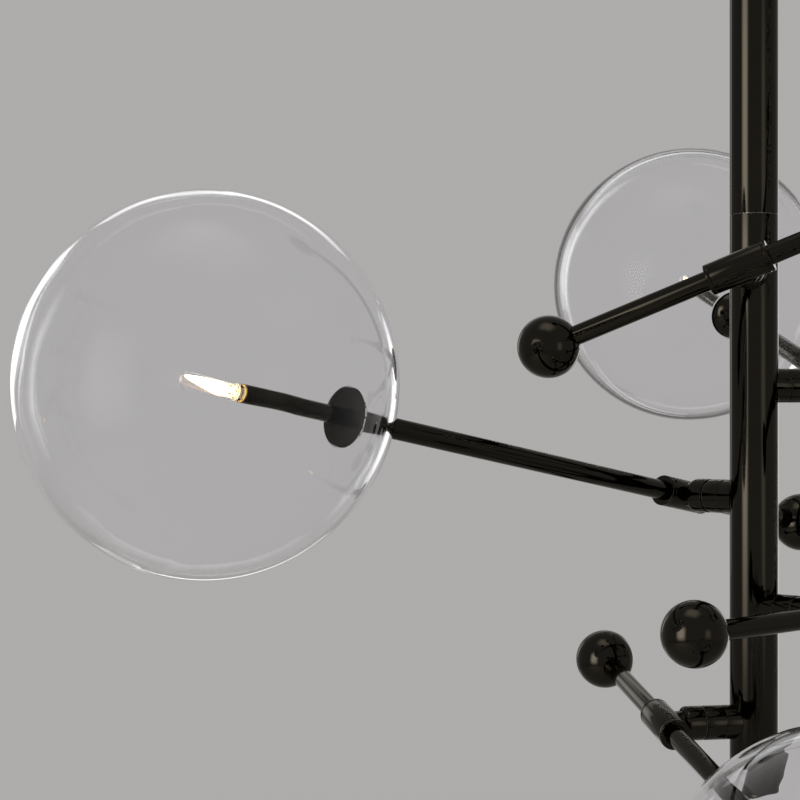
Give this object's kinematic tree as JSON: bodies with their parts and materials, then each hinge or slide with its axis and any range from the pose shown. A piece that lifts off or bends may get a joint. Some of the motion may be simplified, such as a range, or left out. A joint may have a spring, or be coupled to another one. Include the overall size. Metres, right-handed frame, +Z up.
{
  "type": "globe chandelier",
  "caption": "Hanging column of dark polished metal with tilting arms, each with a clear glass globe round a small lit bulb and a metal ball as counterweight.",
  "frame": {"origin": "centre of the ceiling plate's top face, on the column's axis, where the ceiling is", "axes": "+Z up along the column; +X to the right and +Y away in the view of the picture"},
  "size_m": [0.8767, 0.8021, 0.9292],
  "materials": {
    "dark_metal": "polished black nickel plate",
    "steel": "zinc plated",
    "plastic": "moulded, matt",
    "ceramic": "unglazed",
    "bulb_glass": "clear capsule, lit warm white",
    "clear_glass": "clear, blown by hand"
  },
  "bodies": {
    "core": {"ceiling_plate": "steel", "canopy": "dark_metal", "hanger_nipple": "steel", "driver": "plastic", "terminal_block": "plastic", "stem_plug": "dark_metal", "stem": "dark_metal", "coupling": "steel", "column": "dark_metal", "end_cap": "dark_metal", "arm_1_stub": "dark_metal", "arm_1_pivot_bolt": "steel", "arm_2_stub": "dark_metal", "arm_2_pivot_bolt": "steel", "arm_3_stub": "dark_metal", "arm_3_pivot_bolt": "steel", "arm_4_stub": "dark_metal", "arm_4_pivot_bolt": "steel", "arm_5_stub": "dark_metal", "arm_5_pivot_bolt": "steel"},
    "arm_1": {"arm_1_sleeve": "dark_metal", "arm_1_rod": "dark_metal", "arm_1_counterweight": "dark_metal", "arm_1_globe_holder": "dark_metal", "arm_1_lamp_tube": "dark_metal", "arm_1_lamp_socket": "ceramic", "arm_1_bulb": "bulb_glass", "arm_1_globe": "clear_glass"},
    "arm_2": {"arm_2_sleeve": "dark_metal", "arm_2_rod": "dark_metal", "arm_2_counterweight": "dark_metal", "arm_2_globe_holder": "dark_metal", "arm_2_lamp_tube": "dark_metal", "arm_2_lamp_socket": "ceramic", "arm_2_bulb": "bulb_glass", "arm_2_globe": "clear_glass"},
    "arm_3": {"arm_3_sleeve": "dark_metal", "arm_3_rod": "dark_metal", "arm_3_counterweight": "dark_metal", "arm_3_globe_holder": "dark_metal", "arm_3_lamp_tube": "dark_metal", "arm_3_lamp_socket": "ceramic", "arm_3_bulb": "bulb_glass", "arm_3_globe": "clear_glass"},
    "arm_4": {"arm_4_sleeve": "dark_metal", "arm_4_rod": "dark_metal", "arm_4_counterweight": "dark_metal", "arm_4_globe_holder": "dark_metal", "arm_4_lamp_tube": "dark_metal", "arm_4_lamp_socket": "ceramic", "arm_4_bulb": "bulb_glass", "arm_4_globe": "clear_glass"},
    "arm_5": {"arm_5_sleeve": "dark_metal", "arm_5_rod": "dark_metal", "arm_5_counterweight": "dark_metal", "arm_5_globe_holder": "dark_metal", "arm_5_lamp_tube": "dark_metal", "arm_5_lamp_socket": "ceramic", "arm_5_bulb": "bulb_glass", "arm_5_globe": "clear_glass"}
  },
  "joints": [
    {"name": "arm_1_tilt", "type": "hinge", "parent": "core", "child": "arm_1", "pos_m": [-0.01854, -0.05706, -0.4737], "axis": [-0.309, -0.9511, 0], "range_deg": [-30, 10]},
    {"name": "arm_2_tilt", "type": "hinge", "parent": "core", "child": "arm_2", "pos_m": [0.05869, 0.01247, -0.5457], "axis": [0.9781, 0.2079, 0], "range_deg": [-24, 28]},
    {"name": "arm_3_tilt", "type": "hinge", "parent": "core", "child": "arm_3", "pos_m": [-0.04015, 0.04459, -0.6177], "axis": [-0.6691, 0.7431, 0], "range_deg": [-20, 8]},
    {"name": "arm_4_tilt", "type": "hinge", "parent": "core", "child": "arm_4", "pos_m": [0.04015, -0.04459, -0.6897], "axis": [0.6691, -0.7431, 0], "range_deg": [-40, 12]},
    {"name": "arm_5_tilt", "type": "hinge", "parent": "core", "child": "arm_5", "pos_m": [-0.05869, -0.01247, -0.7617], "axis": [-0.9781, -0.2079, 0], "range_deg": [-30, 14]}
  ]
}
